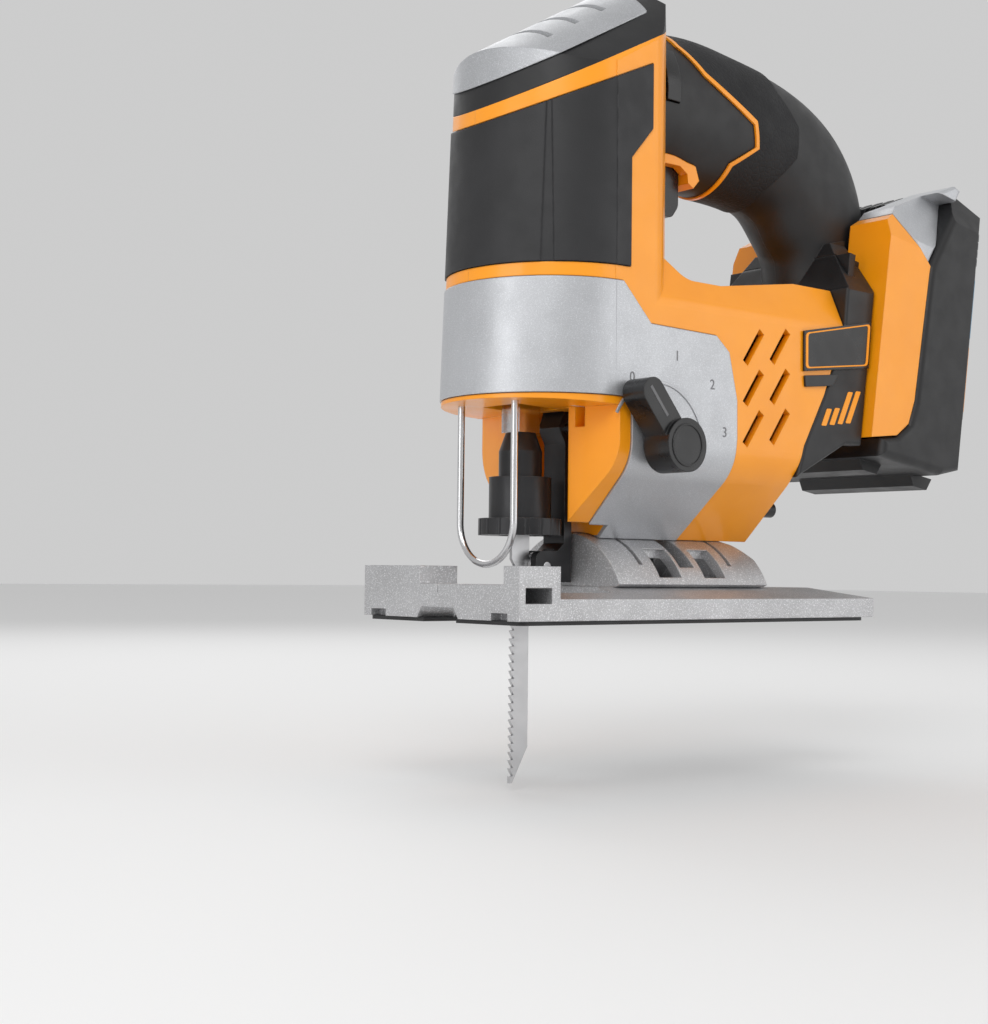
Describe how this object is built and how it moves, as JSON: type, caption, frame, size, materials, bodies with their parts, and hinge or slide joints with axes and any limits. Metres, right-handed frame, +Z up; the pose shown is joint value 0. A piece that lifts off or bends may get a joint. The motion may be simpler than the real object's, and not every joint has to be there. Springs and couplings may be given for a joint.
{
  "type": "cordless jigsaw",
  "caption": "Battery jigsaw with closed D handle, pendulum selector, quick blade clamp, tilting cast shoe, wire guard and slide-off battery.",
  "frame": {"origin": "where the blade's axis meets the plane of the sole", "axes": "-X is the front (cutting direction), +X the battery end, -Y the selector knob's side, +Z up from the sole"},
  "size_m": [0.2377, 0.084, 0.2547],
  "materials": {
    "housing_yellow": "satin moulded plastic",
    "handle_black": "fine spark-eroded grain",
    "rubber_black": "textured soft grip",
    "silver_paint": "silver paint, fine grain",
    "cast_alloy": "bead blasted casting",
    "steel": "bright ground steel",
    "dark_steel": "blackened steel",
    "blade_steel": "etched bi-metal strip",
    "copper": "copper",
    "brass": "sintered bronze",
    "carbon": "carbon",
    "board_green": "printed circuit board",
    "cell_wrap": "shrink wrap",
    "inner_plastic": "moulded plastic",
    "lens": "clear lens",
    "battery_silver": "silver paint, coarse grain"
  },
  "bodies": {
    "tool": {"housing_left": "housing_yellow", "housing_right": "housing_yellow", "gear_case_cover": "silver_paint", "head_pad": "rubber_black", "head_cap": "handle_black", "top_plate": "silver_paint", "handle_left": "handle_black", "handle_right": "handle_black", "handle_grip": "rubber_black", "grip_piping": "housing_yellow", "trigger_bezel": "housing_yellow", "switch_module": "inner_plastic", "control_board": "board_green", "motor_can": "steel", "motor_magnets": "dark_steel", "brushes": "carbon", "motor_bearings": "steel", "gear_plate": "cast_alloy", "plunger_bushes": "brass", "wire_guard": "steel", "rocker_pin": "steel", "led_lens": "lens", "name_plate": "handle_black", "terminal_block": "inner_plastic", "trigger_spring": "steel", "housing_screws": "dark_steel"},
    "rotor": {"armature": "steel", "windings_and_commutator": "copper", "motor_shaft": "steel", "cooling_fan": "inner_plastic", "pinion": "steel"},
    "crank_gear": {"drive_gear": "steel", "crank_pin": "steel", "counterweight": "steel"},
    "plunger": {"plunger": "steel", "scotch_yoke": "steel", "clamp_body": "dark_steel", "clamp_spring": "steel"},
    "collar": {"clamp_collar": "dark_steel"},
    "blade": {"blade": "blade_steel"},
    "rocker": {"orbital_rocker": "dark_steel", "roller_pin": "steel"},
    "roller": {"guide_roller": "steel"},
    "selector": {"selector_knob": "handle_black", "selector_shaft": "steel"},
    "shoe": {"shoe": "cast_alloy", "sole_cover": "handle_black", "bevel_bracket": "cast_alloy"},
    "bevel_screw": {"bevel_screw": "dark_steel"},
    "trigger": {"trigger": "handle_black"},
    "lock_off": {"lock_off_button": "handle_black"},
    "hex_key": {"hex_key": "dark_steel"},
    "battery": {"battery_case": "housing_yellow", "battery_cover": "handle_black", "battery_top": "battery_silver", "battery_rail": "handle_black", "battery_cells": "cell_wrap", "cell_frames": "inner_plastic", "battery_board": "board_green"},
    "release": {"release_button": "handle_black"}
  },
  "joints": [
    {"name": "rotor_spin", "type": "hinge", "parent": "tool", "child": "rotor", "pos_m": [0.065, 0, 0.078], "axis": [1, 0, 0], "continuous": true},
    {"name": "crank_spin", "type": "hinge", "parent": "tool", "child": "crank_gear", "pos_m": [0.019, 0, 0.105], "axis": [1, 0, 0], "continuous": true},
    {"name": "plunger_stroke", "type": "slide", "parent": "tool", "child": "plunger", "axis": [0, 0, 1], "range_m": [0, 0.02]},
    {"name": "collar_turn", "type": "hinge", "parent": "plunger", "child": "collar", "pos_m": [0, 0, 0.04], "axis": [0, 0, 1], "range_deg": [0, 60], "stiffness_Nm_per_rad": 0.05},
    {"name": "blade_release", "type": "slide", "parent": "plunger", "child": "blade", "axis": [0, 0, -1], "range_m": [0, 0.019]},
    {"name": "rocker_swing", "type": "hinge", "parent": "tool", "child": "rocker", "pos_m": [0.016, 0, 0.061], "axis": [0, 1, 0], "range_deg": [-1.5, 0], "stiffness_Nm_per_rad": 2, "springref_deg": 1.15},
    {"name": "roller_spin", "type": "hinge", "parent": "rocker", "child": "roller", "pos_m": [0.0072, 0, 0.017], "axis": [0, 1, 0], "continuous": true},
    {"name": "selector_turn", "type": "hinge", "parent": "tool", "child": "selector", "pos_m": [0.027, -0.035, 0.054], "axis": [0, 1, 0], "range_deg": [0, 117]},
    {"name": "bevel_tilt", "type": "hinge", "parent": "tool", "child": "shoe", "pos_m": [0.05, 0, 0], "axis": [1, 0, 0], "range_deg": [-45, 45]},
    {"name": "bevel_screw_turn", "type": "hinge", "parent": "tool", "child": "bevel_screw", "pos_m": [0.052, 0, 0.02], "axis": [0, 0, 1], "range_deg": [0, 360]},
    {"name": "trigger_press", "type": "slide", "parent": "tool", "child": "trigger", "axis": [0, 0, 1], "range_m": [0, 0.006], "stiffness_N_per_m": 600, "springref_m": -0.003, "deforming": ["trigger_spring"]},
    {"name": "lock_off_press", "type": "slide", "parent": "tool", "child": "lock_off", "axis": [0, 1, 0], "range_m": [0, 0.003], "stiffness_N_per_m": 400, "springref_m": -0.002},
    {"name": "hex_key_pull", "type": "slide", "parent": "tool", "child": "hex_key", "axis": [1, 0, 0], "range_m": [0, 0.015]},
    {"name": "battery_slide", "type": "slide", "parent": "tool", "child": "battery", "axis": [-0.1478, 0, -0.989], "range_m": [0, 0.024]},
    {"name": "release_press", "type": "slide", "parent": "battery", "child": "release", "axis": [-0.1478, 0, -0.989], "range_m": [0, 0.003], "stiffness_N_per_m": 800, "springref_m": -0.002}
  ],
  "couplings": [
    {"joint": "rotor_spin", "follows": "crank_spin", "ratio": -4}
  ]
}
